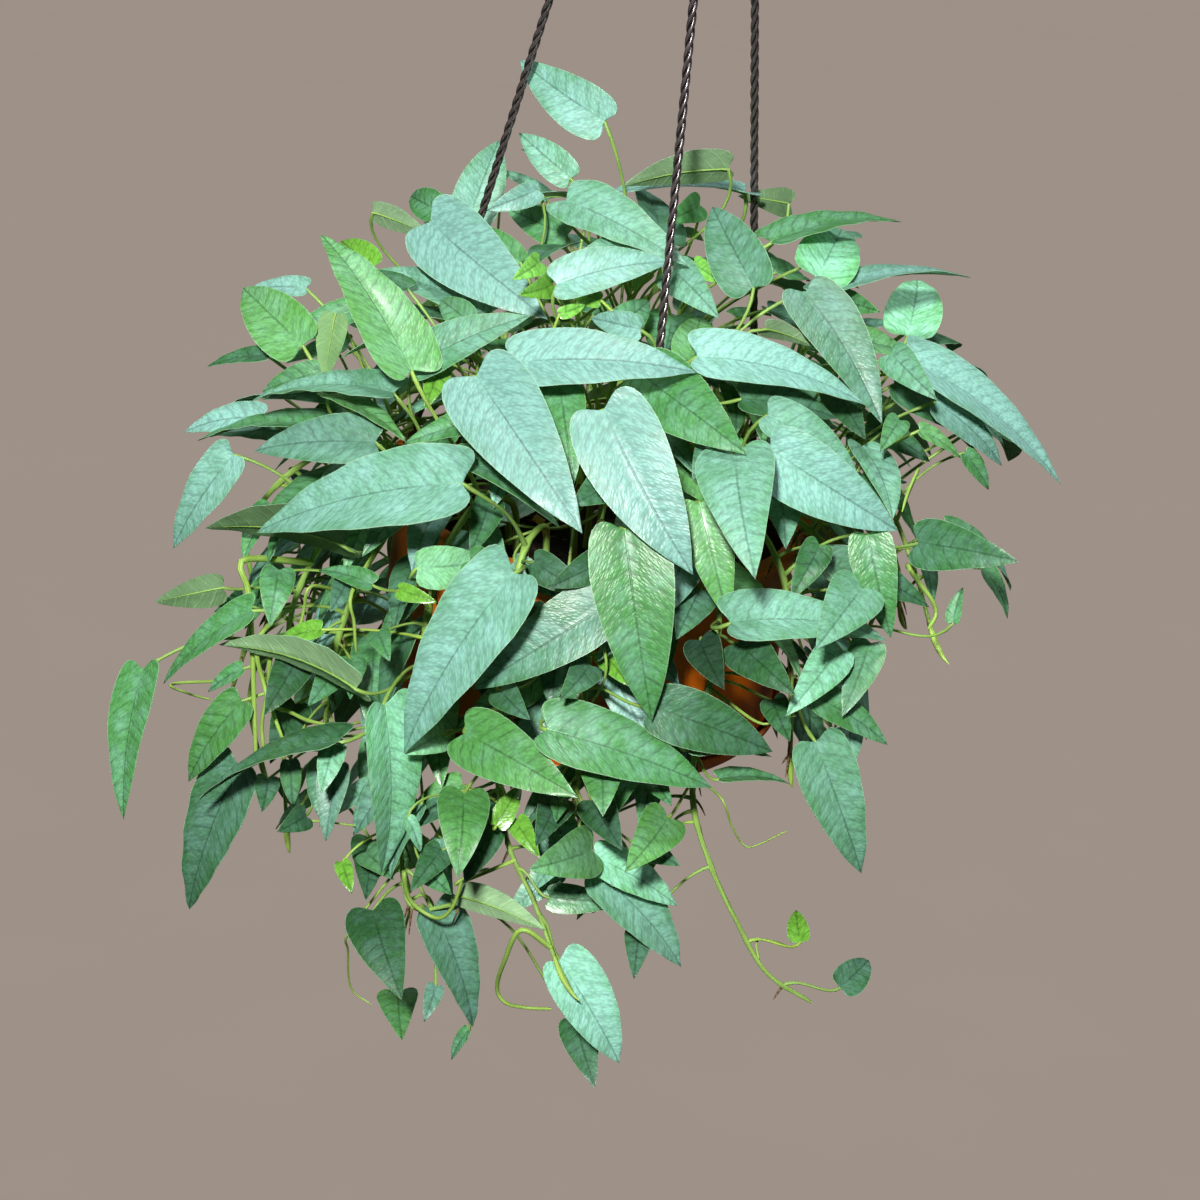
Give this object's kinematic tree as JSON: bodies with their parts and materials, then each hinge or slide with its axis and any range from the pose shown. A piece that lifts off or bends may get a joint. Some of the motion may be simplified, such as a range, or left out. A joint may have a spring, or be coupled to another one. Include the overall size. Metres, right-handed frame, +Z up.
{
  "type": "potted pothos",
  "caption": "Hanging plastic pot and saucer on a corded hanger with a hook, filled with a bushy trailing plant of silvery blue-green leaves.",
  "frame": {"origin": "where the hook's crook bears on the rail or ceiling hook that it hangs from", "axes": "+Z up along the pot's axis, +X to the right as the picture shows it, -Y toward the viewer"},
  "size_m": [0.475, 0.4444, 0.8404],
  "materials": {
    "pot_plastic": "terracotta orange moulded plastic with a low sheen",
    "saucer_plastic": "terracotta orange moulded plastic, a little duller",
    "potting_mix": "dark damp bark and peat mix",
    "cord": "twisted dark brown cord with a waxed sheen",
    "hook_plastic": "dark brown moulded plastic",
    "foliage": "leaf green, silvery blue-green on the larger blades, with a satin sheen"
  },
  "bodies": {
    "root": {"pot": "pot_plastic", "saucer": "saucer_plastic", "potting_mix": "potting_mix", "strand_1": "cord", "strand_2": "cord", "strand_3": "cord", "hook": "hook_plastic", "trail_front": "foliage", "trail_front_left": "foliage", "trail_left_apron": "foliage", "trail_left_low": "foliage", "trail_left_tangle": "foliage", "trail_left": "foliage", "trail_left_back": "foliage", "trail_front_right": "foliage", "runner_right": "foliage", "trail_right_front": "foliage", "trail_right_low": "foliage", "trail_right": "foliage", "trail_right_back": "foliage", "trail_back_right": "foliage", "trail_back": "foliage", "trail_back_left": "foliage", "trail_far_left": "foliage", "upright_1": "foliage", "upright_2": "foliage", "upright_3": "foliage", "upright_4": "foliage", "upright_5": "foliage", "upright_6": "foliage", "upright_7": "foliage", "upright_8": "foliage", "upright_9": "foliage", "upright_centre": "foliage", "upright_front": "foliage"}
  },
  "joints": []
}
